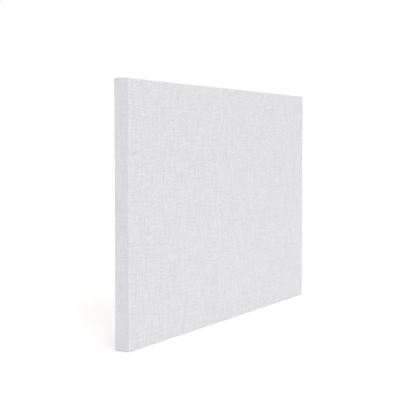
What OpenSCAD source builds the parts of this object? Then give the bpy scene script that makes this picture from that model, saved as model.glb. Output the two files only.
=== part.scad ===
// Stretched canvas: primed cotton on a keyed stretcher frame with one cross brace.
// It stands on its long lower edge with the painting face towards -Y. The origin is
// at the middle of its base. All sizes are in millimetres.

/* [Frame] */
// Width over the stretcher bars
frame_w = 914.4; // [600:0.1:1200]
// Height over the stretcher bars
frame_h = 609.6; // [400:0.1:900]
// Depth of a bar from front to back
bar_depth = 38.1; // [36:0.1:44]
// Width of a bar across its back
bar_w = 42; // [38:0.5:50]

/* [Bar section] */
// Width of the raised bead that carries the cloth
bead_w = 8; // [6:0.5:12]
// Radius of the bead's outer edge
bead_r = 1.6; // [1:0.2:4]
// Step down from the bead to the sloping front
bead_step = 2.5; // [1.5:0.5:4]
// How far the sloping front lies back at the inner edge
slope_back = 5.5; // [4:0.5:8]
// Radius of the outer back edge
back_r = 1.5; // [1:0.5:2.5]
// Chamfer on the inner back edge
ease = 1; // [0.5:0.5:2]

/* [Joints] */
// Thickness of the wood in front of the first tongue
cheek = 13; // [12:0.5:14]
// Thickness of a tongue or tenon
tongue_t = 6; // [5:0.5:7]
// Clearance between the wood faces of a joint
joint_gap = 0.1; // [0.05:0.05:0.2]
// Room for a key between a tongue and the end of its slot
key_room = 8; // [6:0.5:9]
// How far a tenon of the brace reaches into a long bar
tenon_len = 20; // [12:0.5:26]
// How much narrower a tenon is than the brace, on each side
tenon_shoulder = 4; // [2:0.5:6]

/* [Keys] */
// Length of a key
key_len = 42; // [36:1:48]
// Width of a key at its head
key_head = 16; // [13:0.5:18]
// Width of a key at its tip
key_tip = 3; // [2:0.5:4]
// Bevel on a key's corners
key_bevel = 1; // [0.5:0.25:1.5]
// Clearance on each face of a key in its slot
key_gap = 0.3; // [0.2:0.05:0.5]
// Clearance between a seated key and the wood that it bears on
seat_gap = 0.15; // [0.1:0.05:0.3]

/* [Cross brace] */
// Width of the brace
brace_w = 42; // [38:0.5:50]
// How far the front of the brace lies behind the front of the bars
brace_front = 9; // [8:0.5:11]
// How far the back of the brace lies behind the front of the bars
brace_back = 32; // [29:0.5:34]

/* [Cloth] */
// Thickness of the primed cotton
cloth_t = 0.6; // [0.5:0.1:1]
// Width of the cloth turned over onto the back
turnover = 32; // [26:0.5:36]

/* [Staples] */
// Width of a staple over its legs
crown_w = 10.5; // [8:0.5:13]
// How far a leg goes into the wood
leg_len = 8; // [5:0.5:8]
// Width of the staple wire
wire_w = 1.2; // [0.8:0.1:1.4]
// Thickness of the staple wire
wire_t = 0.5; // [0.3:0.1:0.5]
// Distance from a bar's outer edge to its row of staples
staple_inset = 13; // [10:0.5:18]
// Distance from a corner to the first staple of a row
staple_end = 26; // [26:0.5:40]
// Largest spacing along a row
staple_pitch = 54; // [40:1:80]

/* [Hidden] */

// Colours of the materials
gesso_white = [0.90, 0.90, 0.90];
pine = [0.87, 0.74, 0.53];
brace_pine = [0.83, 0.69, 0.47];
beech = [0.80, 0.62, 0.42];
steel = [0.72, 0.73, 0.74];

// Sides of the frame, in quarter turns clockwise from the top, seen from the front
top = 0;
right = 1;
bottom = 2;
left = 3;

// The bars' front plane, and the height of the frame's middle
front_y = -bar_depth / 2;
mid_z = cloth_t + frame_h / 2;

// The two layers of tongues, as depths from the bars' front plane
tongue_a = cheek;
tongue_b = cheek + tongue_t + joint_gap;
// Thickness of the slot that a tongue lies in
slot_t = tongue_t + 2 * joint_gap;

// Thickness of a key, its taper, and how far a seated one reaches into its slot
key_t = slot_t - 2 * key_gap;
key_slope = (key_head - key_tip) / key_len;
key_in = (key_room - 2 * seat_gap - key_tip) / key_slope;

// Half the height of the brace between its shoulders
brace_half = frame_h / 2 - bar_w - joint_gap;

// Segments in a quarter of a rounded edge
arc_steps = 6;
// How far a cut runs past the surface that it opens
past = 5;

// Length over the bar on a side of the frame
function side_length(side) = side % 2 == 0 ? frame_w : frame_h;

// Points of an arc about a centre, from one angle to another
function arc(centre, r, from, to) =
    [for (i = [0:arc_steps])
        let (angle = from + (to - from) * i / arc_steps)
        centre + r * [cos(angle), sin(angle)]];

// Extrudes an outline drawn in depth and height along X, centred on X = 0
module along_x(length)
    rotate([90, 0, 90])
        translate([0, 0, -length / 2])
            linear_extrude(length) children();

// Extrudes an outline drawn in X and height from one depth to another
module through_depth(from, to)
    translate([0, to, 0])
        rotate([90, 0, 0])
            linear_extrude(to - from) children();

// Places what is drawn about the middle of the frame's front plane
module in_frame()
    translate([0, front_y, mid_z]) children();

// Places what is drawn on the top bar, outer edge at height 0, on any side of the frame
module on_side(side)
    in_frame()
        rotate([0, 90 * side, 0])
            translate([0, 0, side_length((side + 1) % 4) / 2]) children();

// Section of a stretcher bar in depth and height, outer edge at height 0
module bar_section()
    polygon(concat(
        arc([bead_r, -bead_r], bead_r, 180, 90),
        arc([bar_depth - back_r, -back_r], back_r, 90, 0),
        [[bar_depth, -bar_w + ease],
         [bar_depth - ease, -bar_w],
         [slope_back, -bar_w],
         [bead_step, -bead_w - bead_step],
         [0, -bead_w]]));

// Takes off the wood beyond the mitre at one end of a bar, between two depths
module mitre_cut(length, end, from, to)
    translate([end * (length / 2 - joint_gap), 0, 0])
        through_depth(from, to)
            polygon([[end * past, past],
                     [end * past, -bar_w - past],
                     [-end * (bar_w + past), -bar_w - past]]);

// Opens the slot across one end of a bar
module slot_cut(length, end, from)
    through_depth(from, from + slot_t)
        translate([end * length / 2, -bar_w / 2])
            square([2 * (bar_w + key_room), bar_w + 2 * past], center = true);

// Cuts one end of a bar to its mitre, its tongue and its slot, given their front faces
module cut_end(length, end, tongue, slot) {
    mitre_cut(length, end, -past, min(tongue, slot));
    mitre_cut(length, end, max(tongue + tongue_t, slot + slot_t), bar_depth + past);
    slot_cut(length, end, slot);
}

// A pocket in a bar's inner edge for a tenon of the brace
module mortise()
    through_depth(tongue_a - joint_gap, tongue_a + tongue_t + joint_gap)
        translate([-brace_w / 2 + tenon_shoulder - joint_gap, -bar_w - past])
            square([brace_w - 2 * tenon_shoulder + 2 * joint_gap,
                    tenon_len + 2 * joint_gap + past]);

// A stretcher bar, with its first tongue at one end and its second at the other
module stretcher_bar(side, mortised) {
    length = side_length(side);
    color(pine)
        on_side(side)
            difference() {
                along_x(length - 2 * joint_gap) bar_section();
                cut_end(length, 1, tongue_a, tongue_b - joint_gap);
                cut_end(length, -1, tongue_b, tongue_a - joint_gap);
                if (mortised) mortise();
            }
}

// The notch across each end of the brace that its keys are driven into
module brace_notch(end)
    through_depth(tongue_b - joint_gap, tongue_b - joint_gap + slot_t)
        translate([-brace_w / 2 - past, end > 0 ? brace_half + joint_gap - key_room
                                                : -brace_half - joint_gap - past])
            square([brace_w + 2 * past, key_room + past]);

// The upright brace, with a tenon at each end
module cross_brace()
    color(brace_pine)
        in_frame() {
            difference() {
                through_depth(brace_front, brace_back)
                    square([brace_w, 2 * brace_half], center = true);
                for (end = [-1, 1]) brace_notch(end);
            }
            through_depth(tongue_a, tongue_a + tongue_t)
                square([brace_w - 2 * tenon_shoulder,
                        2 * (brace_half + tenon_len)], center = true);
        }

// A key with its tip at X = 0, pointing along +X, its straight edge at height 0
module key_blank()
    through_depth(-key_t / 2, key_t / 2)
        polygon([[0, -key_bevel],
                 [-key_bevel, 0],
                 [-key_len + key_bevel, 0],
                 [-key_len, -key_bevel],
                 [-key_len, -key_head + key_bevel],
                 [-key_len + key_bevel, -key_head + key_bevel * key_slope],
                 [0, -key_tip]]);

// Lays a key along the inner edge of a bar, driven towards one end through a mouth
module seated_key(side, towards, mouth, layer)
    color(beech)
        on_side(side)
            translate([mouth + towards * key_in, layer + tongue_t / 2, -bar_w - seat_gap])
                rotate([0, 0, towards > 0 ? 0 : 180])
                    key_blank();

// The key beside the tongue at one end of a bar
module corner_key(side, end)
    seated_key(side, end, end * (side_length(side) / 2 - bar_w),
               end > 0 ? tongue_a : tongue_b);

// A key between a long bar and the brace, driven in from one side of the brace
module brace_key(side, towards)
    seated_key(side, towards, -towards * brace_w / 2, tongue_b);

// A staple driven into a bar's back, its crown level with the cloth that it holds
module staple() {
    reach = cloth_t + leg_len;
    difference() {
        translate([-crown_w / 2, -reach, -wire_w / 2])
            cube([crown_w, reach, wire_w]);
        translate([-crown_w / 2 + wire_t, -reach - past, -wire_w / 2 - past])
            cube([crown_w - 2 * wire_t, reach + past - wire_t, wire_w + 2 * past]);
    }
}

// A row of staples along the back of one bar
module staple_row(side) {
    run = side_length(side) - 2 * staple_end;
    gaps = ceil(run / staple_pitch);
    color(steel)
        on_side(side)
            for (i = [0:gaps])
                translate([-run / 2 + i * run / gaps, bar_depth + cloth_t, -staple_inset])
                    staple();
}

// Section of the whole frame across one pair of bars, grown by an offset
module wrapped_section(height, offset)
    translate([0, -height / 2])
        polygon(concat(
            arc([bead_r, height - bead_r], bead_r + offset, 180, 90),
            arc([bar_depth - back_r, height - back_r], back_r + offset, 90, 0),
            arc([bar_depth - back_r, back_r], back_r + offset, 0, -90),
            arc([bead_r, bead_r], bead_r + offset, -90, -180)));

// The outside of the joined bars, grown by an offset
module envelope(offset)
    intersection() {
        along_x(frame_w + 2 * offset) wrapped_section(frame_h, offset);
        rotate([0, 90, 0])
            along_x(frame_h + 2 * offset) wrapped_section(frame_w, offset);
    }

// The cloth: one sheet over the front and round the sides onto the back
module canvas()
    color(gesso_white)
        in_frame()
            difference() {
                envelope(cloth_t);
                envelope(0);
                through_depth(bar_depth / 2, bar_depth + past)
                    square([frame_w - 2 * turnover, frame_h - 2 * turnover],
                           center = true);
            }

canvas();
stretcher_bar(top, true);  // top_bar
stretcher_bar(right, false);  // right_bar
stretcher_bar(bottom, true);  // bottom_bar
stretcher_bar(left, false);  // left_bar
cross_brace();
corner_key(top, 1);  // key_top_right_across
corner_key(top, -1);  // key_top_left_across
corner_key(bottom, -1);  // key_bottom_right_across
corner_key(bottom, 1);  // key_bottom_left_across
corner_key(right, -1);  // key_top_right_upright
corner_key(left, 1);  // key_top_left_upright
corner_key(right, 1);  // key_bottom_right_upright
corner_key(left, -1);  // key_bottom_left_upright
brace_key(top, -1);  // brace_key_top_right
brace_key(top, 1);  // brace_key_top_left
brace_key(bottom, 1);  // brace_key_bottom_right
brace_key(bottom, -1);  // brace_key_bottom_left
staple_row(top);  // top_staples
staple_row(right);  // right_staples
staple_row(bottom);  // bottom_staples
staple_row(left);  // left_staples
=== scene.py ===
"""A blank stretched canvas: primed cotton, stretcher bars, brace, keys and staples."""

import math
import random

import bmesh
import bpy
from bpy.props import FloatProperty, FloatVectorProperty, IntProperty, PointerProperty
from mathutils import Matrix, Vector, noise


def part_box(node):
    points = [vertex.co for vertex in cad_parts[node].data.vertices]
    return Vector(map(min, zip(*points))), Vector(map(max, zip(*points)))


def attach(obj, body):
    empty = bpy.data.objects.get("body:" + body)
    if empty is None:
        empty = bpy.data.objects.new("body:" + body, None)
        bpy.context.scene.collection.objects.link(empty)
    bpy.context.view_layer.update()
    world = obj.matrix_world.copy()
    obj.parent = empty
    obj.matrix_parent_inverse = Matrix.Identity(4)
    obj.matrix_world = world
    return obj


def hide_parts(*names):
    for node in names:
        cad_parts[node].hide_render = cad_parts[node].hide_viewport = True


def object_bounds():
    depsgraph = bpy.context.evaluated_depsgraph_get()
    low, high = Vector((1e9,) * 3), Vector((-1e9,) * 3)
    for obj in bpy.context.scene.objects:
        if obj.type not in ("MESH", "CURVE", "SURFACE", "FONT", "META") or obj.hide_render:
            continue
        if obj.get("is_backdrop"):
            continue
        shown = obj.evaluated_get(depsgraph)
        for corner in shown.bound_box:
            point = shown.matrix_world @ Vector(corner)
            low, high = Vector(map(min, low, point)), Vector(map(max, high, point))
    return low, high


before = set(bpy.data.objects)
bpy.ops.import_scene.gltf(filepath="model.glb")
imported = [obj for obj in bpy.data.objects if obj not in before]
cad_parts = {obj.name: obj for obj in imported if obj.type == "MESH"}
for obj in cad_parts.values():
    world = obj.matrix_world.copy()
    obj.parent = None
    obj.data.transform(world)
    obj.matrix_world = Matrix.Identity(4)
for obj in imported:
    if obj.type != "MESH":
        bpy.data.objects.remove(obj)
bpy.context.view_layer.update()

bl_info = {
    "name": "Stretched Canvas",
    "version": (1, 0, 0),
    "blender": (4, 5, 0),
    "location": "View3D > Sidebar > Canvas",
    "description": "Builds a stretched canvas around its stretcher frame",
    "category": "Add Mesh",
}

MM = 0.001
SIDES = ("top", "right", "bottom", "left")
CORNER_KEYS = [
    f"key_{height}_{hand}_{run}"
    for height in ("top", "bottom")
    for hand in ("left", "right")
    for run in ("across", "upright")
]
BRACE_KEYS = [
    f"brace_key_{height}_{hand}"
    for height in ("top", "bottom")
    for hand in ("left", "right")
]
THREAD_SEED = 11
WOOD_SEED = 29
KEY_SEED = 47
STAPLE_SEED = 83

# A slanting direction along which no two points of a staple are level. It puts their
# points in the same order in every run.
SLANT = Vector((0.83, 0.47, 0.29))

# Where the flat cloth is divided, in millimetres past a place.
FRONT_EDGE_LINES = (-4, -1.6, -0.8, 0.8, 1.6, 3, 5)
BACK_EDGE_LINES = (-1.5, -0.5, 0.5, 1.5, 3.5)
STAPLE_ROW_LINES = (-3.5, -1.5, -0.5, 0.5, 1.5, 3.5)
CROWN_LINES = (-7.5, -4.5, 4.5, 7.5)

# How many layers a fold is pressed in by where it starts, at the front corner.
TUCKED_IN = {"first fold": 1.0, "second fold": 0.5}


# ---------------------------------------------------------------- settings


def length(name, description, millimetres):
    """A length, kept in metres."""
    return FloatProperty(
        name=name,
        description=description,
        default=millimetres * MM,
        min=0.0,
        unit="LENGTH",
        precision=5,
    )


def colour(name, description, rgb, highest=1.0):
    """A colour. A lamp's tint may go past 1."""
    return FloatVectorProperty(
        name=name,
        description=description,
        default=rgb,
        min=0.0,
        max=highest,
        subtype="COLOR",
    )


def share(name, description, value, highest=1.0):
    """A strength or share without a unit."""
    return FloatProperty(
        name=name, description=description, default=value, min=0.0, max=highest
    )


def direction(name, description, way):
    """The direction that a lamp shines from."""
    return FloatVectorProperty(
        name=name, description=description, default=way, subtype="DIRECTION"
    )


def angle(name, description, degrees):
    """An angle, kept in radians."""
    return FloatProperty(
        name=name,
        description=description,
        default=math.radians(degrees),
        unit="ROTATION",
    )


class ClothSettings(bpy.types.PropertyGroup):
    """Sizes and colours of the primed cotton."""

    thickness: length("Thickness", "Thickness of the primed cloth", 0.45)
    clearance: length("Clearance", "Air between the cloth and the wood", 0.15)
    layer: length("Layer", "Distance from one folded layer to the next", 0.46)
    turnover: length("Turnover", "Cloth turned over onto the back", 32)
    front_radius: length("Front radius", "Radius of the wood under the front edges", 1.6)
    back_radius: length("Back radius", "Radius of the wood under the back edges", 1.5)
    corner_radius: length("Corner radius", "Radius of the cloth at the four corners", 0.9)
    fold: length("Fold", "Half the width of a fold's nose", 0.3)
    ramp: length("Ramp", "How far the cloth takes to come down off a fold", 4.5)
    sag: length("Sag", "How far the middle of the face lies back", 0.7)
    ripple: length("Ripple", "Height of the slow waves in the face", 0.25)
    lift: length("Lift", "Most that the cut edge rises between staples", 1.1)
    dent: length("Dent", "How deep a staple presses the cloth", 0.32)
    thread: length("Thread", "Distance from one thread to the next", 0.85)
    gesso: colour("Gesso", "Colour of the priming", (0.745, 0.744, 0.746))
    cotton: colour("Cotton", "Colour of the raw cloth", (0.72, 0.655, 0.53))
    husk: colour("Husk", "Colour of the husk specks in the raw cloth", (0.22, 0.13, 0.06))


class WoodSettings(bpy.types.PropertyGroup):
    """Sizes and colours of the bars, the brace and the keys."""

    easing: length("Easing", "Width of the eased edges of a bar", 0.6)
    key_easing: length("Key easing", "Width of the eased edges of a key", 0.35)
    ring: length("Ring", "Width of a growth ring in the pine", 3.1)
    beech_ring: length("Beech ring", "Width of a growth ring in the keys", 1.7)
    pine: colour("Pine", "Early wood of the bars", (0.68, 0.49, 0.285))
    pine_late: colour("Pine rings", "Late wood of the bars", (0.47, 0.275, 0.12))
    knot: colour("Knot", "Heart of a knot", (0.20, 0.09, 0.04))
    beech: colour("Beech", "Ground colour of the keys", (0.56, 0.37, 0.215))
    beech_late: colour("Beech flecks", "Flecks and rings", (0.36, 0.20, 0.10))


class StapleSettings(bpy.types.PropertyGroup):
    """Sizes and colour of the staples."""

    wire_width: length("Wire width", "Width of the flattened wire", 1.2)
    wire_thickness: length("Wire thickness", "Thickness of the flattened wire", 0.5)
    bend: length("Bend", "Radius of the bends in the wire", 0.55)
    proud: length("Proud", "How far a crown stands out of its dent", 0.36)
    zinc: colour("Zinc", "Colour of the plated wire", (0.47, 0.48, 0.50))


class ThreadSettings(bpy.types.PropertyGroup):
    """The loose threads along the cut edge."""

    count: IntProperty(
        name="Count",
        description="Loose threads for each metre of cut edge",
        default=110,
        min=0,
    )
    longest: length("Longest", "Length of the longest loose thread", 7)
    radius: length("Radius", "Radius of a thread", 0.11)
    shade: colour("Shade", "Darker colour of a thread", (0.70, 0.66, 0.57))
    light: colour("Light", "Lighter colour of a thread", (0.86, 0.84, 0.78))


class StageSettings(bpy.types.PropertyGroup):
    """Camera, floor and light."""

    camera_place: FloatVectorProperty(
        name="Camera place",
        description="Where the camera stands, in front and to the left",
        default=(-2.1037, -1.1981, 0.4625),
        unit="LENGTH",
    )
    azimuth: angle("Azimuth", "Turn of the camera round the canvas", -59.37)
    elevation: angle("Elevation", "How far the camera looks down", 2.20)
    lens: FloatProperty(
        name="Lens", description="Focal length in millimetres", default=78.78, min=1.0
    )
    rise: FloatProperty(
        name="Rise", description="Upright shift of the lens", default=-0.0673
    )
    floor_size: length("Floor size", "Width of the floor", 60000)
    floor: colour("Floor", "Colour of the floor", (0.93, 0.93, 0.93))
    glow: share("Glow", "Light that the floor gives by itself", 0.22)
    paper: colour("Paper", "Light of the paper low down and ahead", (1.0, 1.0, 1.0))
    walls: colour("Walls", "Light from all round", (0.33, 0.33, 0.33))
    ceiling: colour("Ceiling", "Light from overhead", (0.48, 0.48, 0.48))
    key_light: share("Key", "Strength of the lamp at the left front", 0.74, 10.0)
    key_tint: colour("Key tint", "Colour of that lamp", (1.0, 0.94, 1.20), 2.0)
    key_from: direction("Key from", "Where that lamp stands", (-0.64, -0.64, 0.42))
    fill_light: share("Fill", "Strength of the lamp at the right front", 0.315, 10.0)
    fill_tint: colour("Fill tint", "Colour of that lamp", (1.0, 1.13, 0.80), 2.0)
    fill_from: direction("Fill from", "Where that lamp stands", (0.55, -0.6, 0.58))
    top_light: share("Top", "Strength of the lamp overhead", 0.90, 10.0)
    spread: angle("Spread", "Width of each lamp as the canvas sees it", 28)


# ---------------------------------------------------------------- material helpers


class Value:
    """A socket in a material, so that shader maths reads as an expression."""

    def __init__(self, tree, socket):
        self.tree = tree
        self.socket = socket

    def math(self, operation, first, second=0.0):
        """The result of a Math node."""
        return self.tree.add(
            "ShaderNodeMath", {"operation": operation}, {0: first, 1: second}
        )

    def __add__(self, other):
        return self.math("ADD", self, other)

    __radd__ = __add__

    def __sub__(self, other):
        return self.math("SUBTRACT", self, other)

    def __rsub__(self, other):
        return self.math("SUBTRACT", other, self)

    def __mul__(self, other):
        return self.math("MULTIPLY", self, other)

    __rmul__ = __mul__

    def __truediv__(self, other):
        return self.math("DIVIDE", self, other)

    def __rtruediv__(self, other):
        return self.math("DIVIDE", other, self)

    def __neg__(self):
        return self.math("MULTIPLY", self, -1.0)

    def cosine(self):
        return self.math("COSINE", self)

    def size(self):
        return self.math("ABSOLUTE", self)

    def root(self):
        return self.math("SQRT", self)

    def fraction(self):
        return self.math("FRACT", self)

    def whole(self):
        return self.math("FLOOR", self)

    def exponential(self):
        return self.math("EXPONENT", self)

    def highest(self, other):
        return self.math("MAXIMUM", self, other)

    def step(self, low, high):
        """Rises smoothly from 0 at low to 1 at high."""
        return self.tree.add(
            "ShaderNodeMapRange",
            {"interpolation_type": "SMOOTHSTEP"},
            {"Value": self, "From Min": low, "From Max": high},
        )

    def stretched(self, x, y, z):
        """The vector with each of its parts multiplied."""
        return self.tree.add(
            "ShaderNodeVectorMath", {"operation": "MULTIPLY"}, {0: self, 1: (x, y, z)}
        )

    def parts(self):
        """The vector's three parts."""
        x = self.tree.add("ShaderNodeSeparateXYZ", {}, {0: self})
        outputs = x.socket.node.outputs
        return [Value(self.tree, outputs[i]) for i in range(3)]


class Tree:
    """A node tree that is built with calls and expressions."""

    def __init__(self, tree):
        self.tree = tree
        tree.nodes.clear()

    def add(self, kind, settings, inputs, output=0):
        """Adds a node: its settings first, then the values or links of its sockets."""
        node = self.tree.nodes.new(kind)
        for name, setting in settings.items():
            setattr(node, name, setting)
        for name, given in inputs.items():
            if isinstance(given, Value):
                self.tree.links.new(given.socket, node.inputs[name])
            else:
                node.inputs[name].default_value = given
        return Value(self, node.outputs[output] if len(node.outputs) else None)

    def vector(self, x, y, z):
        """A vector from its three parts."""
        return self.add("ShaderNodeCombineXYZ", {}, {0: x, 1: y, 2: z})

    def mottle(self, vector, scale, detail=2.0, roughness=0.5):
        """A soft noise between 0 and 1."""
        return self.add(
            "ShaderNodeTexNoise",
            {"noise_dimensions": "3D"},
            {
                "Vector": vector,
                "Scale": scale,
                "Detail": detail,
                "Roughness": roughness,
            },
        )

    def mix(self, amount, first, second):
        """A colour between two colours."""
        return self.add(
            "ShaderNodeMix",
            {"data_type": "RGBA"},
            {0: amount, 6: first, 7: second},
            output=2,
        )

    def relief(self, height):
        """The normal of a surface with that height over it, in metres."""
        return self.add(
            "ShaderNodeBump", {}, {"Strength": 1.0, "Distance": 1.0, "Height": height}
        )

    def surface(self, **sockets):
        """The finished surface, from the sockets of one principled shader."""
        named = {name.replace("_", " "): given for name, given in sockets.items()}
        shader = self.add("ShaderNodeBsdfPrincipled", {}, named)
        self.add("ShaderNodeOutputMaterial", {}, {"Surface": shader})


def opaque(rgb, factor=1.0):
    """A colour with full alpha, made lighter or darker."""
    return tuple(part * factor for part in rgb) + (1.0,)


def new_material(name):
    """An empty material and its node tree."""
    material = bpy.data.materials.new(name)
    material.use_nodes = True
    return material, Tree(material.node_tree)


# ---------------------------------------------------------------- cloth materials


def flat_place(tree):
    """The place on the flat cloth, in metres from the middle of the face."""
    return tree.add("ShaderNodeUVMap", {"uv_map": "flat"}, {})


def weave(tree, flat, pitch):
    """The plain weave: its height, its slubs each way and its thread numbers."""
    x, y, _ = flat.parts()
    wander_x = tree.mottle(flat.stretched(55.0, 4.0, 1.0), 1.0)
    wander_y = tree.mottle(flat.stretched(4.0, 55.0, 1.0), 1.0)
    warp = x / pitch + 1.6 * wander_x
    weft = y / pitch + 1.6 * wander_y
    warp_round = 0.5 + 0.5 * (warp * math.tau).cosine()
    weft_round = 0.5 + 0.5 * (weft * math.tau).cosine()
    over = (warp * math.pi).cosine() * (weft * math.pi).cosine()
    height = warp_round * (0.5 + 0.5 * over) + weft_round * (0.5 - 0.5 * over)
    slub_up = tree.mottle(flat.stretched(0.55 / pitch, 22.0, 1.0), 1.0, 1.0)
    slub_across = tree.mottle(flat.stretched(22.0, 0.55 / pitch, 1.0), 1.0, 1.0)
    return height, slub_across, slub_up, warp.whole(), weft.whole()


def gesso_material(cloth, half_x, half_z):
    """White priming over the weave, more even where it turns past the face; painted shade in the
    hollows, a painted highlight on the front edges.
    """
    material, tree = new_material("primed_cotton")
    flat = flat_place(tree)
    height, across, up, thread_x, thread_y = weave(tree, flat, cloth.thread)
    thick = across.step(0.55, 0.78) + up.step(0.55, 0.78)
    thin = (1.0 - across).step(0.58, 0.8) + (1.0 - up).step(0.58, 0.8)
    x, y, _ = flat.parts()
    grain = tree.mottle(tree.vector(0.22 * thread_x, 0.39 * thread_y, 1.5), 1.0, 2.0, 0.6)
    run_up = tree.mottle(tree.vector(0.26 * thread_x, 26.0 * y, 4.5), 1.0, 1.0)
    run_across = tree.mottle(tree.vector(36.0 * x, 0.42 * thread_y, 7.5), 1.0, 1.0)
    brushed = tree.mottle(flat.stretched(3.0, 7.0, 1.0), 1.0, 3.0)
    past = (x.size() - half_x).highest(y.size() - half_z)
    face = 1.0 - 0.45 * past.step(0.0, 4 * MM)
    cover = face * (2.3 * grain + 1.1 * run_up + 1.1 * run_across - 2.25)
    # A band round the front edges, lightened in the colour below as a painted highlight.
    edge_highlight = 1.0 - (past + 0.6 * MM).size().step(1.0 * MM, 2.6 * MM)
    # Hollows of the weave: the colour below darkens them as painted shade, and the roughness rises
    # there.
    pit_shade_and_roughness = (1.0 - height).step(0.35, 1.0)
    slubs = 0.26 * (thick - thin)
    # Painted shade darkens the hollows and a painted highlight lightens the front edges; slubs,
    # brushing and cover are the priming's own uneven tone.
    tone = slubs - 0.13 * pit_shade_and_roughness + 0.06 * brushed + cover + 0.14 * edge_highlight
    base = tree.mix(tone + 0.5, opaque(cloth.gesso, 0.905), opaque(cloth.gesso, 1.095))
    fine = tree.mottle(flat, 2600.0, 2.0)
    rise = 0.10 * MM * height + 0.07 * MM * thick + 0.02 * MM * fine
    rough = 0.74 + 0.10 * pit_shade_and_roughness - 0.05 * thick
    tree.surface(
        Base_Color=base,
        Roughness=rough,
        Specular_IOR_Level=0.25,
        Normal=tree.relief(rise),
    )
    return material


def cotton_material(cloth):
    """The unprimed side: natural cotton with open weave, specks and fluff, and painted shade in
    the gaps of the weave.
    """
    material, tree = new_material("raw_cotton")
    flat = flat_place(tree)
    height, across, up, _, _ = weave(tree, flat, cloth.thread)
    thick = across.step(0.5, 0.75) + up.step(0.5, 0.75)
    speck = tree.mottle(flat, 190.0, 1.0).step(0.74, 0.79)
    cloud = tree.mottle(flat, 9.0, 3.0)
    # Gaps of the weave: the colour below darkens them as painted shade, mixed with the cotton's
    # cloudy tone, and the roughness rises there.
    gaps = (1.0 - height).step(0.3, 1.0)
    gap_shaded_cotton = tree.mix(
        0.28 * gaps + 0.25 * (cloud - 0.5) + 0.04,
        opaque(cloth.cotton, 1.06),
        opaque(cloth.cotton, 0.5),
    )
    slubbed = tree.mix(0.30 * thick, gap_shaded_cotton, opaque(cloth.cotton, 1.22))
    base = tree.mix(0.55 * speck, slubbed, opaque(cloth.husk))
    rise = 0.16 * MM * height + 0.14 * MM * thick
    tree.surface(
        Base_Color=base,
        Specular_IOR_Level=0.2,
        Roughness=0.88 + 0.08 * gaps,
        Normal=tree.relief(rise),
        Sheen_Weight=0.25,
        Sheen_Roughness=0.5,
    )
    return material


# ---------------------------------------------------------------- cloth shape


def smooth(low, high, value):
    """Rises smoothly from 0 at low to 1 at high."""
    part = min(max((value - low) / (high - low), 0.0), 1.0)
    return part * part * (3.0 - 2.0 * part)


def between(first, second, part):
    """The value that lies that part of the way from the first to the second."""
    return first + (second - first) * part


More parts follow.
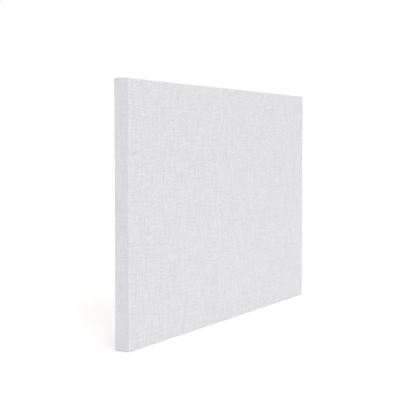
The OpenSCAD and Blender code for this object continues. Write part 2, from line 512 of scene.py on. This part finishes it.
class Wrap:
    """Turns a place on the flat cut cloth into its place on the stretcher frame.

    The flat place is measured from the middle of the face. The folds of each corner
    lie on the long sides, under the cloth of those sides, and the short sides stay
    plain. A layer number says how many thicknesses lie under a place."""

    def __init__(self, cloth):
        self.cloth = cloth
        low = Vector((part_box("left_bar")[0].x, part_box("top_bar")[0].y,
                      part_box("bottom_bar")[0].z))
        high = Vector((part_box("right_bar")[1].x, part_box("top_bar")[1].y,
                       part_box("top_bar")[1].z))
        self.half_x = (high.x - low.x) / 2
        self.half_z = (high.z - low.z) / 2
        self.depth = high.y - low.y
        self.front = low.y
        self.middle_z = (high.z + low.z) / 2
        self.rows = {side: staple_places(side) for side in SIDES}
        self.inset = self.half_z - (self.rows["top"][0].z - self.middle_z)

    def under(self, distance):
        """1 on top of a fold, and 0 once the cloth has come down off it."""
        return 1.0 - smooth(0.8 * MM, self.cloth.ramp + 0.8 * MM, distance)

    def laid(self, past_x, past_z):
        """Place of a point as distances in from the side, down the depth and in
        from the top, with its layers on the long side and on the back."""
        depth = self.depth
        if past_x <= 0 and past_z <= 0:
            return -past_x, 0.0, -past_z, "face"
        if past_z <= 0:
            if past_x <= depth:
                return 0.0, past_x, -past_z, "short side"
            return past_x - depth, depth, -past_z, "short side"
        if past_x <= 0:
            if past_z <= depth:
                return -past_x, past_z, 0.0, "long side"
            return -past_x, depth, past_z - depth, "long side"
        if past_x > past_z:
            if past_x <= depth:
                return past_z, past_x, 0.0, "first fold"
            if past_x - depth > past_z:
                return past_x - depth, depth, past_z, "tuck"
            return past_z, depth, past_x - depth, "first fold"
        if past_z <= depth:
            return past_x, past_z, 0.0, "second fold"
        return past_x, depth, past_z - depth, "second fold"

    def layers(self, in_x, deep, in_z, part):
        """How many thicknesses lie under a point of that part of the cloth."""
        if part in ("face", "short side"):
            return 0.0
        pressed = 0.55 + 0.45 * smooth(0.0, 12 * MM, in_x)
        if part == "tuck":
            return pressed
        turnover = self.cloth.turnover
        tucked = 2.0 * self.under(in_z - in_x) * self.under(in_x - turnover)
        if part == "first fold":
            on_side, on_back = 0.0, 2.0 * self.under(in_x - turnover)
        elif part == "second fold":
            on_side, on_back = 1.0, 1.0 + tucked
        else:
            on_side = 2.0 * self.under(in_x - deep)
            on_back = 2.0 * self.under(in_x - in_z - self.depth) + tucked
        spread = smooth(0.0, 7 * MM, deep)
        on_side = on_side * spread - TUCKED_IN.get(part, 0.0) * (1.0 - spread)
        past_edge = deep - self.depth + in_z
        return between(on_side, on_back * pressed, smooth(-2 * MM, 5 * MM, past_edge))

    def outer_layers(self, in_x, in_z):
        """How many thicknesses lie under the outermost cloth on the back."""
        if in_z > self.cloth.turnover:
            return 0.0
        return self.layers(in_x, self.depth, in_z, "long side")

    def pressed(self, side, along, inward):
        """Rise and fall of the turned-over cloth about the staples of its side."""
        cloth = self.cloth
        places = [p.x if side in ("top", "bottom") else p.z for p in self.rows[side]]
        nearest = min(abs(along - place) for place in places)
        reach = math.hypot(max(nearest - 5 * MM, 0.0), inward - self.inset)
        dent = cloth.dent * math.exp(-((reach / (1.9 * MM)) ** 2))
        spacing = places[1] - places[0]
        phase = (along - places[0]) / spacing
        gap = math.floor(phase)
        wave = math.sin(math.pi * (phase - gap)) ** 2
        if not 0 <= gap < len(places) - 1:
            wave = 0.25
        luck = 0.5 + 0.5 * noise.cell(Vector((gap * 1.7, SIDES.index(side) * 5.3, 0.5)))
        opened = smooth(self.inset + 1 * MM, cloth.turnover, inward)
        pull = 0.10 * MM * (1.0 - wave) * smooth(0.0, self.inset, inward)
        return cloth.lift * (0.25 + 0.75 * luck) * wave * opened - dent - pull

    def place(self, flat_x, flat_z):
        """Where a point of the flat cloth lies on the frame."""
        cloth = self.cloth
        past_x = abs(flat_x) - self.half_x
        past_z = abs(flat_z) - self.half_z
        in_x, deep, in_z, part = self.laid(past_x, past_z)
        lift = self.layers(in_x, deep, in_z, part) * cloth.layer
        if deep >= self.depth and part in ("long side", "short side"):
            upright = part == "short side"
            inward = in_x if upright else in_z
            along = flat_z + self.middle_z if upright else flat_x
            side = side_name(flat_x, flat_z, upright)
            shown = 1.0 if not upright else smooth(cloth.turnover, cloth.turnover * 1.2, in_z)
            lift += shown * self.pressed(side, along, inward)
        stand_off = cloth.clearance + cloth.thickness / 2 + lift
        x, y, z = self.rounded(self.half_x - in_x, deep, self.half_z - in_z, stand_off)
        if part == "face":
            y += self.slack(flat_x, flat_z, min(in_x, in_z))
        return Vector((
            math.copysign(x, flat_x),
            self.front + y,
            self.middle_z + math.copysign(z, flat_z),
        ))

    def slack(self, flat_x, flat_z, inward):
        """How far the face lies back from flat: a slight sag and slow waves."""
        free = smooth(6 * MM, 160 * MM, inward)
        waves = noise.noise(Vector((flat_x * 5.0, flat_z * 5.0, 3.1)))
        return self.cloth.sag * free + self.cloth.ripple * waves * smooth(0, 40 * MM, inward)

    def rounded(self, x, y, z, stand_off):
        """Moves a point of the sharp-edged block onto its rounded edges, then out."""
        cloth = self.cloth
        corner = cloth.corner_radius
        radius_y = cloth.front_radius if y < self.depth / 2 else cloth.back_radius
        core = Vector((
            min(x, self.half_x - corner),
            min(max(y, cloth.front_radius), self.depth - cloth.back_radius),
            min(z, self.half_z - corner),
        ))
        beyond = ((x - core.x) / corner, (y - core.y) / radius_y, (z - core.z) / corner)
        outward = Vector(math.tan(part * math.pi / 4) for part in beyond).normalized()
        return (
            core.x + outward.x * (corner + stand_off),
            core.y + outward.y * (radius_y + stand_off),
            core.z + outward.z * (corner + stand_off),
        )


def side_name(flat_x, flat_z, upright):
    """The side of the frame that a point of the flat cloth is turned over."""
    if upright:
        return "right" if flat_x > 0 else "left"
    return "top" if flat_z > 0 else "bottom"


def staple_places(side):
    """The middle of each staple of one side, from the solids of its node."""
    key = 0 if side in ("top", "bottom") else 2
    points = sorted((v.co.copy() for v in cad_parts[side + "_staples"].data.vertices),
                    key=lambda point: point[key])
    groups = [[points[0]]]
    for point in points[1:]:
        if point[key] - groups[-1][-1][key] > 20 * MM:
            groups.append([])
        groups[-1].append(point)
    middles = []
    for group in groups:
        low = Vector(min(p[i] for p in group) for i in range(3))
        high = Vector(max(p[i] for p in group) for i in range(3))
        middles.append((low + high) / 2)
    return middles


def evenly(start, end, largest):
    """Places from start to end with even gaps no wider than the largest."""
    gaps = max(1, math.ceil((end - start) / largest))
    return [start + (end - start) * i / gaps for i in range(gaps + 1)]


def both_hands(places):
    """The same places on both sides of the middle."""
    return [hand * place for place in places for hand in (1, -1)]


def division(wrap, half, stations):
    """Lines that divide the flat cloth one way, close together where it bends."""
    cloth = wrap.cloth
    past = wrap.depth + cloth.turnover
    back = half + wrap.depth
    near = [half + offset * MM for offset in FRONT_EDGE_LINES]
    near += [half - cloth.fold, half + cloth.fold, half + past]
    near += [back + offset * MM for offset in BACK_EDGE_LINES]
    near += [back + wrap.inset + offset * MM for offset in STAPLE_ROW_LINES]
    fixed = both_hands(near)
    fixed += [station + offset * MM for station in stations for offset in CROWN_LINES]
    loose = evenly(-half + 12 * MM, half - 12 * MM, 17 * MM)
    loose += both_hands(evenly(half + 8 * MM, half + past, 4.2 * MM))
    loose += both_hands(evenly(half - past - 8 * MM, half - 8 * MM, 3.6 * MM))
    kept = [place for place in loose if min(abs(place - f) for f in fixed) > 1.6 * MM]
    return sorted(set(round(place, 7) for place in fixed + kept))


def cut_diagonals(shape, wrap):
    """Adds the slanting edges on which the corners of the cloth fold."""
    cloth = wrap.cloth
    nose = cloth.fold * math.sqrt(2)
    for hand in (-1, 1):
        for up in (-1, 1):
            for start in (0.0, wrap.depth):
                for offset in (start - nose, start + nose):
                    faces = [
                        face for face in shape.faces
                        if face.calc_center_median().x * hand > wrap.half_x + start * 0.9
                        and face.calc_center_median().y * up > wrap.half_z
                    ]
                    edges = {edge for face in faces for edge in face.edges}
                    verts = {vert for face in faces for vert in face.verts}
                    bmesh.ops.bisect_plane(
                        shape,
                        geom=list(verts) + list(edges) + faces,
                        dist=1e-6,
                        plane_co=(hand * (wrap.half_x + offset), up * wrap.half_z, 0.0),
                        plane_no=(hand, -up, 0.0),
                    )


def flat_cloth(wrap):
    """The cut cloth lying flat, divided for its folds."""
    columns = division(wrap, wrap.half_x, [place.x for place in wrap.rows["top"]])
    rows = division(wrap, wrap.half_z,
                    [place.z - wrap.middle_z for place in wrap.rows["left"]])
    shape = bmesh.new()
    bmesh.ops.create_grid(
        shape, x_segments=len(columns) - 1, y_segments=len(rows) - 1, size=0.5
    )
    low_x = min(vert.co.x for vert in shape.verts)
    low_y = min(vert.co.y for vert in shape.verts)
    for vert in shape.verts:
        column = round((vert.co.x - low_x) / (-2 * low_x) * (len(columns) - 1))
        row = round((vert.co.y - low_y) / (-2 * low_y) * (len(rows) - 1))
        vert.co = (columns[column], rows[row], 0.0)
    cut_diagonals(shape, wrap)
    bmesh.ops.triangulate(shape, faces=[face for face in shape.faces if len(face.verts) > 4])
    return shape


def mark_flat(shape):
    """Keeps each point's flat place as its UV, in metres."""
    layer = shape.loops.layers.uv.new("flat")
    for face in shape.faces:
        for loop in face.loops:
            loop[layer].uv = loop.vert.co.xy


def finish_piece(name, shape, materials, body, nodes=(), smooth_angle=None):
    """Makes a bmesh a piece that rides on a body and stands for its CAD nodes."""
    mesh = bpy.data.meshes.new(name)
    shape.to_mesh(mesh)
    shape.free()
    for material in materials:
        mesh.materials.append(material)
    mesh.shade_smooth()
    if smooth_angle is not None:
        mesh.set_sharp_from_angle(angle=math.radians(smooth_angle))
    piece = bpy.data.objects.new(name, mesh)
    bpy.context.scene.collection.objects.link(piece)
    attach(piece, body)
    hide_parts(*nodes)
    return piece


def make_cloth(cloth):
    """The primed cotton as one sheet, folded round the frame."""
    wrap = Wrap(cloth)
    shape = flat_cloth(wrap)
    mark_flat(shape)
    for vert in shape.verts:
        vert.co = wrap.place(vert.co.x, vert.co.y)
    materials = [gesso_material(cloth, wrap.half_x, wrap.half_z), cotton_material(cloth)]
    piece = finish_piece("primed_cloth", shape, materials, "frame", ["canvas"])
    wall = piece.modifiers.new("cloth_thickness", "SOLIDIFY")
    wall.thickness = cloth.thickness
    wall.offset = 0.0
    wall.material_offset = 1
    wall.material_offset_rim = 1
    wall.use_quality_normals = True
    return piece, wrap


# ---------------------------------------------------------------- loose threads


def edge_points(wrap, count_per_metre, dice):
    """Places along the cut edges, each with the flat direction that it frays in."""
    cloth = wrap.cloth
    end = wrap.depth + cloth.turnover
    found = []
    for side in SIDES:
        upright = side in ("left", "right")
        sign = 1 if side in ("top", "right") else -1
        reach = (wrap.half_z if upright else wrap.half_x) - (cloth.turnover if upright else 0.0)
        across = (wrap.half_x if upright else wrap.half_z) + end
        for _ in range(round(2 * reach * count_per_metre)):
            along = dice.uniform(-reach, reach)
            flat = (sign * across, along) if upright else (along, sign * across)
            found.append((flat, (sign, 0) if upright else (0, sign)))
    return found


def make_threads(threads, wrap, dice):
    """Short loose threads that stand out of the cut edge of the turned-over cloth."""
    line = bpy.data.curves.new("loose_threads", "CURVE")
    line.dimensions = "3D"
    line.bevel_depth = threads.radius
    line.bevel_resolution = 0
    line.resolution_u = 2
    for (flat_x, flat_z), (out_x, out_z) in edge_points(wrap, threads.count, dice):
        root = wrap.place(flat_x, flat_z)
        before = wrap.place(flat_x - out_x * 3 * MM, flat_z - out_z * 3 * MM)
        run = (root - before).normalized()
        size = threads.longest * dice.random() ** 2.2 + 0.6 * MM
        drift = Vector((dice.gauss(0, 0.45), dice.gauss(0.06, 0.16), dice.gauss(0, 0.45)))
        curl = Vector((dice.gauss(0, 0.5), dice.gauss(0.0, 0.2), dice.gauss(0, 0.5)))
        spline = line.splines.new("POLY")
        spline.points.add(3)
        for i, point in enumerate(spline.points):
            part = i / 3
            heading = run + drift * part + curl * part * part
            here = before.lerp(root, 0.7) + heading * size * part
            point.co = (*here, 1.0)
            point.radius = 1.0 - 0.55 * part
    source = bpy.data.objects.new("thread_lines", line)
    bpy.context.scene.collection.objects.link(source)
    bpy.context.view_layer.update()
    mesh = bpy.data.meshes.new_from_object(source)
    bpy.data.objects.remove(source)
    shape = bmesh.new()
    shape.from_mesh(mesh)
    bpy.data.meshes.remove(mesh)
    material, tree = new_material("cotton_thread")
    place = tree.add("ShaderNodeTexCoord", {}, {}, "Object")
    fluff = tree.mottle(place, 900.0, 2.0)
    base = tree.mix(fluff.step(0.3, 0.7), opaque(threads.shade), opaque(threads.light))
    rise = 0.03 * MM * tree.mottle(place, 5200.0, 1.0)
    tree.surface(Base_Color=base, Roughness=0.9, Normal=tree.relief(rise))
    return finish_piece("loose_threads", shape, [material], "frame")


# ---------------------------------------------------------------- wood


def grain_place(tree, node, upright, pith, shift):
    """Object coordinates with the grain along X and the pith off the middle."""
    low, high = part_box(node)
    middle = (low + high) / 2
    turn = (0.0, math.pi / 2, 0.0) if upright else (0.0, 0.0, 0.0)
    along = middle.z if upright else middle.x
    across = -middle.x if upright else middle.z
    place = tree.add("ShaderNodeTexCoord", {}, {}, "Object")
    return tree.add(
        "ShaderNodeMapping",
        {"vector_type": "POINT"},
        {
            "Vector": place,
            "Rotation": turn,
            "Location": (shift - along, pith[0] - middle.y, pith[1] - across),
        },
    )


def end_grain(tree, upright):
    """1 on the faces that cut across the grain."""
    normal = tree.add("ShaderNodeTexCoord", {}, {}, "Normal")
    return normal.parts()[2 if upright else 0].size().step(0.8, 0.95)


def pine_material(name, wood, node, upright, pith, shift, knots):
    """Planed pine: growth rings about a pith, fibres, resin streaks and knots."""
    material, tree = new_material(name)
    grain = grain_place(tree, node, upright, pith, shift)
    x, y, z = grain.parts()
    bow = tree.mottle(grain.stretched(1.3, 4.0, 4.0), 1.0, 1.0) - 0.5
    bow_other = tree.mottle(grain.stretched(1.7, 5.0, 5.0), 1.0, 1.0) - 0.5
    ring_y = y + 0.022 * bow
    ring_z = z + 0.022 * bow_other
    radius = (ring_y * ring_y + ring_z * ring_z).root()
    seasons = tree.mottle(grain.stretched(0.6, 95.0, 95.0), 1.0, 2.0)
    rings = radius / wood.ring + 2.6 * seasons + tree.mottle(grain.stretched(3.0, 30.0, 30.0), 1.0)
    core = 0.0
    for knot_x, knot_z, size in knots:
        beside_x = (x - (knot_x + shift)) * 0.72
        beside_z = z - (knot_z + pith[1])
        gap = (beside_x * beside_x + beside_z * beside_z).root()
        swirl = gap / (2.0 * size)
        rings = rings + 4.0 * (-swirl * swirl).exponential()
        core = core + (1.0 - (gap + 0.6 * MM * bow).step(0.8 * size, 1.1 * size))
    ring = rings.fraction()
    late = ring.step(0.35, 0.9) * (1.0 - ring.step(0.93, 1.0))
    fibre = tree.mottle(grain.stretched(14.0, 1100.0, 1100.0), 1.0, 3.0, 0.6)
    streak = tree.mottle(grain.stretched(45.0, 2400.0, 2400.0), 1.0, 1.0).step(0.66, 0.74)
    cloud = tree.mottle(grain.stretched(3.0, 18.0, 18.0), 1.0, 2.0)
    amount = 0.50 * late + 0.55 * (fibre - 0.5) + 0.40 * (cloud - 0.5) + 0.14
    plain = tree.mix(amount.highest(0.0), opaque(wood.pine, 1.1), opaque(wood.pine_late))
    streaked = tree.mix(0.35 * streak, plain, opaque(wood.pine_late, 0.55))
    ends = end_grain(tree, upright)
    cut = tree.mix(0.4 * ends, streaked, opaque(wood.pine_late, 0.7))
    heart = core * (0.72 + 0.28 * (rings * 2.0).fraction())
    base = tree.mix(heart, cut, opaque(wood.knot))
    planed = (x * (math.tau / (2.6 * MM)) + 3.0 * cloud).cosine()
    rise = MM * (0.04 * fibre + 0.03 * late + 0.0025 * planed - 0.05 * streak)
    rough = 0.52 + 0.22 * (fibre - 0.5) + 0.14 * ends - 0.10 * late
    tree.surface(Base_Color=base, Roughness=rough, Normal=tree.relief(rise))
    return material


def beech_material(name, wood, node, upright, pith, shift):
    """Sawn beech: faint rings, short dark flecks and saw marks."""
    material, tree = new_material(name)
    grain = grain_place(tree, node, upright, pith, shift)
    x, y, z = grain.parts()
    radius = (y * y + z * z).root()
    rings = radius / wood.beech_ring + tree.mottle(grain.stretched(18.0, 90.0, 90.0), 1.0)
    late = rings.fraction().step(0.3, 0.95)
    fleck = tree.mottle(grain.stretched(420.0, 2600.0, 2600.0), 1.0, 1.0).step(0.60, 0.68)
    fibre = tree.mottle(grain.stretched(60.0, 3000.0, 3000.0), 1.0, 2.0)
    cloud = tree.mottle(grain, 45.0, 2.0)
    amount = 0.30 * late + 0.5 * (fibre - 0.5) + 0.35 * (cloud - 0.5) + 0.15
    plain = tree.mix(amount.highest(0.0), opaque(wood.beech, 1.1), opaque(wood.beech_late))
    flecked = tree.mix(0.6 * fleck, plain, opaque(wood.beech_late, 0.6))
    ends = end_grain(tree, upright)
    base = tree.mix(0.45 * ends, flecked, opaque(wood.beech_late, 0.75))
    sawn = (x * (math.tau / (1.3 * MM)) + 6.0 * cloud).cosine()
    rise = MM * (0.03 * fibre + 0.012 * sawn - 0.03 * fleck)
    rough = 0.60 + 0.2 * (fibre - 0.5) + 0.12 * ends
    tree.surface(Base_Color=base, Roughness=rough, Normal=tree.relief(rise))
    return material


def eased(node, width):
    """A copy of a CAD node as one clean mesh with its sharp outer edges eased."""
    shape = bmesh.new()
    shape.from_mesh(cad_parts[node].data)
    bmesh.ops.remove_doubles(shape, verts=shape.verts, dist=1e-6)
    bmesh.ops.dissolve_limit(
        shape, angle_limit=math.radians(0.5), verts=shape.verts, edges=shape.edges
    )
    sharp = [
        edge for edge in shape.edges
        if edge.is_manifold and edge.is_convex and edge.calc_face_angle() > math.radians(30)
    ]
    bmesh.ops.bevel(
        shape,
        geom=sharp,
        offset=width,
        offset_type="OFFSET",
        affect="EDGES",
        segments=2,
        profile=0.5,
        material=-1,
        clamp_overlap=True,
    )
    return shape


def make_bar(wood, side, dice):
    """One stretcher bar."""
    node = side + "_bar"
    upright = side in ("left", "right")
    low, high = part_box(node)
    reach = (high.z - low.z if upright else high.x - low.x) / 2
    knots = [
        (reach * place + dice.uniform(-0.05, 0.05), dice.uniform(-0.014, 0.016),
         dice.uniform(2.6, 5.2) * MM)
        for place in ((-0.55, 0.28) if upright else (-0.7, -0.12, 0.62))
    ]
    pith = (dice.uniform(0.01, 0.05), dice.choice((-1, 1)) * dice.uniform(0.05, 0.11))
    material = pine_material(
        "pine_" + side, wood, node, upright, pith, dice.uniform(3, 40), knots
    )
    shape = eased(node, wood.easing)
    return finish_piece(
        f"stretcher_{side}", shape, [material], "frame", [node], 35
    )


def make_brace(wood, dice):
    """The upright brace between the long bars."""
    material = pine_material(
        "pine_brace", wood, "cross_brace", True, (0.055, 0.007), dice.uniform(3, 40),
        [(0.11, -0.009, 3.4 * MM)],
    )
    shape = eased("cross_brace", wood.easing)
    return finish_piece(
        "upright_brace", shape, [material], "frame", ["cross_brace"], 35
    )


def make_key(wood, node, dice):
    """One wedge-shaped key."""
    upright = node.endswith("upright")
    pith = (dice.uniform(0.012, 0.03), dice.uniform(0.01, 0.03))
    material = beech_material(
        "beech_" + node, wood, node, upright, pith, dice.uniform(1, 20)
    )
    shape = eased(node, wood.key_easing)
    return finish_piece(
        node + "_wedge", shape, [material], node, [node], 35
    )


# ---------------------------------------------------------------- staples


def staple_template(staples, crown, reach):
    """One bent staple: its crown along X on top, its legs down to minus reach."""
    shape = bmesh.new()
    ring = bmesh.ops.create_circle(shape, segments=8, radius=1.0)["verts"]
    to_flats = math.cos(math.pi / 8)
    bmesh.ops.rotate(shape, verts=ring, cent=(0, 0, 0),
                     matrix=Matrix.Rotation(math.pi / 8, 3, "Z"))
    bmesh.ops.scale(
        shape, verts=ring,
        vec=(staples.wire_thickness / 2 / to_flats, staples.wire_width / 2 / to_flats, 1),
    )
    bmesh.ops.rotate(shape, verts=ring, cent=(0, 0, 0),
                     matrix=Matrix.Rotation(math.pi / 2, 3, "X"))
    leg_x = (crown - staples.wire_thickness) / 2
    bend = staples.bend
    top = -staples.wire_thickness / 2
    bmesh.ops.translate(shape, verts=ring, vec=(-leg_x, -reach, 0))
    first = list(shape.edges)

    def draw_out(edges, way):
        """Extrudes the open end of the wire, and returns its new end."""
        made = bmesh.ops.extrude_edge_only(shape, edges=edges)["geom"]
        verts = [part for part in made if isinstance(part, bmesh.types.BMVert)]
        bmesh.ops.translate(shape, verts=verts, vec=way)
        return [part for part in made if isinstance(part, bmesh.types.BMEdge)
                and all(vert in verts for vert in part.verts)]

    def turn(edges, centre):
        """Bends the wire a quarter turn about a centre, and returns its new end."""
        made = bmesh.ops.spin(
            shape, geom=edges, cent=centre, axis=(0, 0, 1), angle=-math.pi / 2,
            steps=4, use_merge=False,
        )["geom_last"]
        return [part for part in made if isinstance(part, bmesh.types.BMEdge)]

    edges = draw_out(first, (0, reach + top - bend, 0))
    edges = turn(edges, (-leg_x + bend, top - bend, 0))
    edges = draw_out(edges, (2 * (leg_x - bend), 0, 0))
    edges = turn(edges, (leg_x - bend, top - bend, 0))
    edges = draw_out(edges, (0, -(reach + top - bend), 0))
    bmesh.ops.holes_fill(shape, edges=[e for e in first + edges if e.is_valid], sides=0)
    bmesh.ops.remove_doubles(shape, verts=shape.verts, dist=1e-7)
    bmesh.ops.recalc_face_normals(shape, faces=shape.faces)
    shape.verts.sort(key=lambda vert: vert.co.dot(SLANT))
    shape.edges.sort(key=lambda edge: sum(vert.co.dot(SLANT) for vert in edge.verts))
    shape.faces.sort(key=lambda face: face.calc_center_median().dot(SLANT))
    mesh = bpy.data.meshes.new("staple_template")
    shape.to_mesh(mesh)
    shape.free()
    return mesh


def zinc_material(staples):
    """Galvanized wire: bright, with faint spangle and rubbed streaks."""
    material, tree = new_material("galvanized_wire")
    place = tree.add("ShaderNodeTexCoord", {}, {}, "Object")
    spangle = tree.mottle(place, 1500.0, 2.0)
    rubbed = tree.mottle(place.stretched(400.0, 3000.0, 3000.0), 1.0, 2.0)
    base = tree.mix(
        spangle.step(0.35, 0.7), opaque(staples.zinc), opaque(staples.zinc, 0.72)
    )
    tree.surface(
        Base_Color=base,
        Metallic=1.0,
        Roughness=0.26 + 0.20 * rubbed,
        Normal=tree.relief(MM * (0.003 * rubbed + 0.002 * spangle)),
    )
    return material


def make_staples(staples, side, wrap, material, dice):
    """The row of staples on the back of one bar."""
    node = side + "_staples"
    upright = side in ("left", "right")
    low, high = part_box(node)
    places = wrap.rows[side]
    crown = 2 * (high.z - places[-1].z if upright else high.x - places[-1].x)
    template = staple_template(staples, crown, high.y - low.y)
    shape = bmesh.new()
    for place in places:
        before = len(shape.verts)
        shape.from_mesh(template)
        in_x = wrap.half_x - abs(place.x)
        in_z = wrap.half_z - abs(place.z - wrap.middle_z)
        cloth = wrap.cloth
        top = cloth.clearance + cloth.thickness + wrap.outer_layers(in_x, in_z) * cloth.layer
        level = wrap.front + wrap.depth + top - cloth.dent + staples.proud
        turn = Matrix.Rotation(dice.gauss(0, 0.02) + (math.pi / 2 if upright else 0), 4, "Y")
        shift = Vector((dice.gauss(0, 0.25) * MM, 0, dice.gauss(0, 0.25) * MM))
        spot = Matrix.Translation(Vector((place.x, level, place.z)) + shift)
        shape.verts.ensure_lookup_table()
        bmesh.ops.transform(shape, matrix=spot @ turn, verts=shape.verts[before:])
    bpy.data.meshes.remove(template)
    return finish_piece(
        f"staple_row_{side}", shape, [material], "frame", [node], 50
    )


# ---------------------------------------------------------------- stage


def make_camera(stage):
    """The camera, in front of the canvas and to its left."""
    data = bpy.data.cameras.new("camera")
    data.lens = stage.lens
    data.shift_y = stage.rise
    camera = bpy.data.objects.new("camera", data)
    bpy.context.scene.collection.objects.link(camera)
    camera.location = stage.camera_place
    camera.rotation_euler = (math.pi / 2 - stage.elevation, 0.0, stage.azimuth)
    bpy.context.scene.camera = camera


def make_floor(stage, height):
    """A wide pale floor that glows a little by itself."""
    shape = bmesh.new()
    bmesh.ops.create_circle(
        shape, cap_ends=True, segments=96, radius=stage.floor_size / 2,
        matrix=Matrix.Translation((0, 0, height)),
    )
    mesh = bpy.data.meshes.new("floor")
    shape.to_mesh(mesh)
    shape.free()
    material, tree = new_material("floor_paint")
    tree.surface(
        Base_Color=opaque(stage.floor),
        Roughness=0.9,
        Emission_Color=opaque((1.0, 1.0, 1.0)),
        Emission_Strength=stage.glow,
    )
    mesh.materials.append(material)
    floor = bpy.data.objects.new("floor", mesh)
    bpy.context.scene.collection.objects.link(floor)
    floor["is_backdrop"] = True


def make_surroundings(stage):
    """Even light all round, with bright paper low down and beyond the canvas."""
    world = bpy.data.worlds.new("soft_room")
    world.use_nodes = True
    bpy.context.scene.world = world
    tree = Tree(world.node_tree)
    way = tree.add("ShaderNodeTexCoord", {}, {}, "Generated")
    ahead = (-math.sin(stage.azimuth), math.cos(stage.azimuth), 0.0)
    facing = tree.add(
        "ShaderNodeVectorMath", {"operation": "DOT_PRODUCT"}, {0: way, 1: ahead}, "Value"
    )
    up = way.parts()[2]
    room = tree.mix(up.step(0.1, 0.9), opaque(stage.walls), opaque(stage.ceiling))
    high = up.step(0.02, 0.30) * (1.0 - facing.step(0.84, 0.93))
    tint = tree.mix(high, opaque(stage.paper), room)
    light = tree.add("ShaderNodeBackground", {}, {"Color": tint, "Strength": 1.0})
    tree.add("ShaderNodeOutputWorld", {}, {"Surface": light})


def make_lamp(name, toward, spread, strength, tint=(1.0, 1.0, 1.0)):
    """A large soft lamp far off in that direction."""
    data = bpy.data.lights.new(name, "SUN")
    data.angle = spread
    data.energy = strength
    data.color = tint
    lamp = bpy.data.objects.new(name, data)
    bpy.context.scene.collection.objects.link(lamp)
    lamp.rotation_euler = Vector(toward).to_track_quat("Z", "Y").to_euler()


# ---------------------------------------------------------------- operators


class CANVAS_OT_stage(bpy.types.Operator):
    """Add the camera, the floor and the soft light"""

    bl_idname = "canvas.stage"
    bl_label = "Stage"

    def execute(self, context):
        stage = context.scene.canvas_stage
        bpy.context.scene.view_settings.view_transform = "Standard"
        make_camera(stage)
        make_floor(stage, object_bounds()[0].z)
        make_surroundings(stage)
        spread = stage.spread
        make_lamp("key_lamp", stage.key_from, spread, stage.key_light, stage.key_tint)
        make_lamp("fill_lamp", stage.fill_from, spread, stage.fill_light, stage.fill_tint)
        make_lamp("top_lamp", (0.0, 0.0, 1.0), spread, stage.top_light)
        return {"FINISHED"}


class CANVAS_OT_cloth(bpy.types.Operator):
    """Add the primed cotton, folded round the frame, and its loose threads"""

    bl_idname = "canvas.cloth"
    bl_label = "Cloth"

    def execute(self, context):
        cloth = context.scene.canvas_cloth
        piece, wrap = make_cloth(cloth)
        threads = make_threads(context.scene.canvas_threads, wrap, random.Random(THREAD_SEED))
        return {"FINISHED"}


class CANVAS_OT_bars(bpy.types.Operator):
    """Add the four stretcher bars and the upright brace"""

    bl_idname = "canvas.bars"
    bl_label = "Bars and brace"

    def execute(self, context):
        wood = context.scene.canvas_wood
        dice = random.Random(WOOD_SEED)
        for side in SIDES:
            make_bar(wood, side, dice)
        make_brace(wood, dice)
        return {"FINISHED"}


class CANVAS_OT_keys(bpy.types.Operator):
    """Add the keys at the corners and at the ends of the brace"""

    bl_idname = "canvas.keys"
    bl_label = "Keys"

    def execute(self, context):
        dice = random.Random(KEY_SEED)
        for node in CORNER_KEYS + BRACE_KEYS:
            make_key(context.scene.canvas_wood, node, dice)
        return {"FINISHED"}


class CANVAS_OT_staples(bpy.types.Operator):
    """Add the rows of staples"""

    bl_idname = "canvas.staples"
    bl_label = "Staples"

    def execute(self, context):
        staples = context.scene.canvas_staples
        wrap = Wrap(context.scene.canvas_cloth)
        material = zinc_material(staples)
        dice = random.Random(STAPLE_SEED)
        for side in SIDES:
            make_staples(staples, side, wrap, material, dice)
        return {"FINISHED"}


class CANVAS_PT_panel(bpy.types.Panel):
    """Buttons for each part of the canvas"""

    bl_idname = "CANVAS_PT_panel"
    bl_label = "Stretched Canvas"
    bl_space_type = "VIEW_3D"
    bl_region_type = "UI"
    bl_category = "Canvas"

    def draw(self, context):
        for operator in OPERATORS:
            self.layout.operator(operator.bl_idname)


OPERATORS = (
    CANVAS_OT_bars,
    CANVAS_OT_keys,
    CANVAS_OT_cloth,
    CANVAS_OT_staples,
    CANVAS_OT_stage,
)
SETTINGS = {
    "canvas_cloth": ClothSettings,
    "canvas_wood": WoodSettings,
    "canvas_staples": StapleSettings,
    "canvas_threads": ThreadSettings,
    "canvas_stage": StageSettings,
}


def register():
    """Registers the classes and gives the scene its settings."""
    for kind in (*SETTINGS.values(), *OPERATORS, CANVAS_PT_panel):
        bpy.utils.register_class(kind)
    for name, kind in SETTINGS.items():
        setattr(bpy.types.Scene, name, PointerProperty(type=kind))


def unregister():
    """Undoes what register did."""
    for name in SETTINGS:
        delattr(bpy.types.Scene, name)
    for kind in reversed((*SETTINGS.values(), *OPERATORS, CANVAS_PT_panel)):
        bpy.utils.unregister_class(kind)


def main():
    """Builds the whole canvas."""
    register()
    bpy.ops.canvas.bars()
    bpy.ops.canvas.keys()
    bpy.ops.canvas.cloth()
    bpy.ops.canvas.staples()
    bpy.ops.canvas.stage()


if __name__ == "__main__":
    main()
